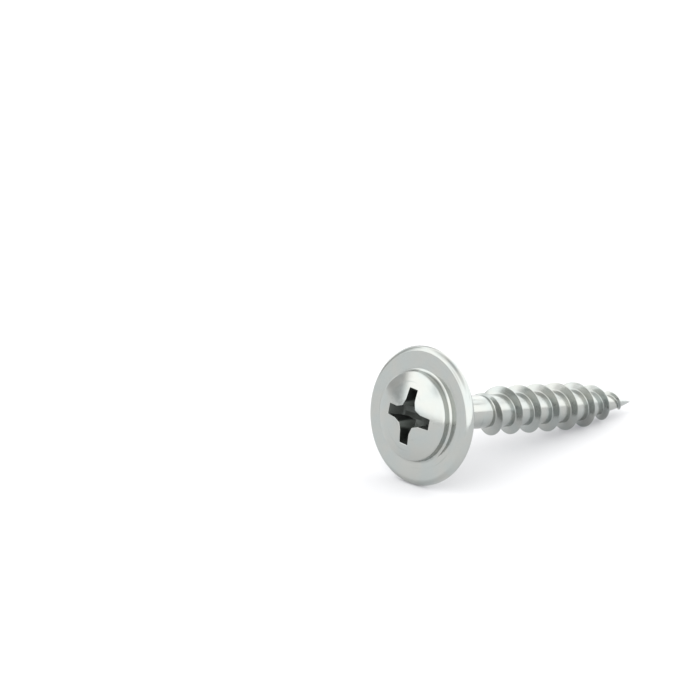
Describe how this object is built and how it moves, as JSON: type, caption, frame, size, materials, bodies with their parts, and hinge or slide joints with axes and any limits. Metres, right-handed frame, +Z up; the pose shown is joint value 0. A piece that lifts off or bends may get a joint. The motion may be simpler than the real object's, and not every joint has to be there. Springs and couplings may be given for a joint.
{
  "type": "washer head wood screw",
  "caption": "Washer head wood screw with a domed crown, cross recess, plain shank and coarse right-hand thread to a sharp point, lying on its rim and thread.",
  "frame": {"origin": "middle of the bounding box's underside, on the surface that the screw lies on", "axes": "+Z up, +X from the head towards the point seen from above; the screw's own axis leans 11 degrees down to the point, as it comes to rest on rim and thread"},
  "size_m": [0.0268, 0.0112, 0.011],
  "materials": {
    "zinc": "bright zinc plating, satin to glossy"
  },
  "bodies": {
    "root": {"screw": "zinc"}
  },
  "joints": []
}
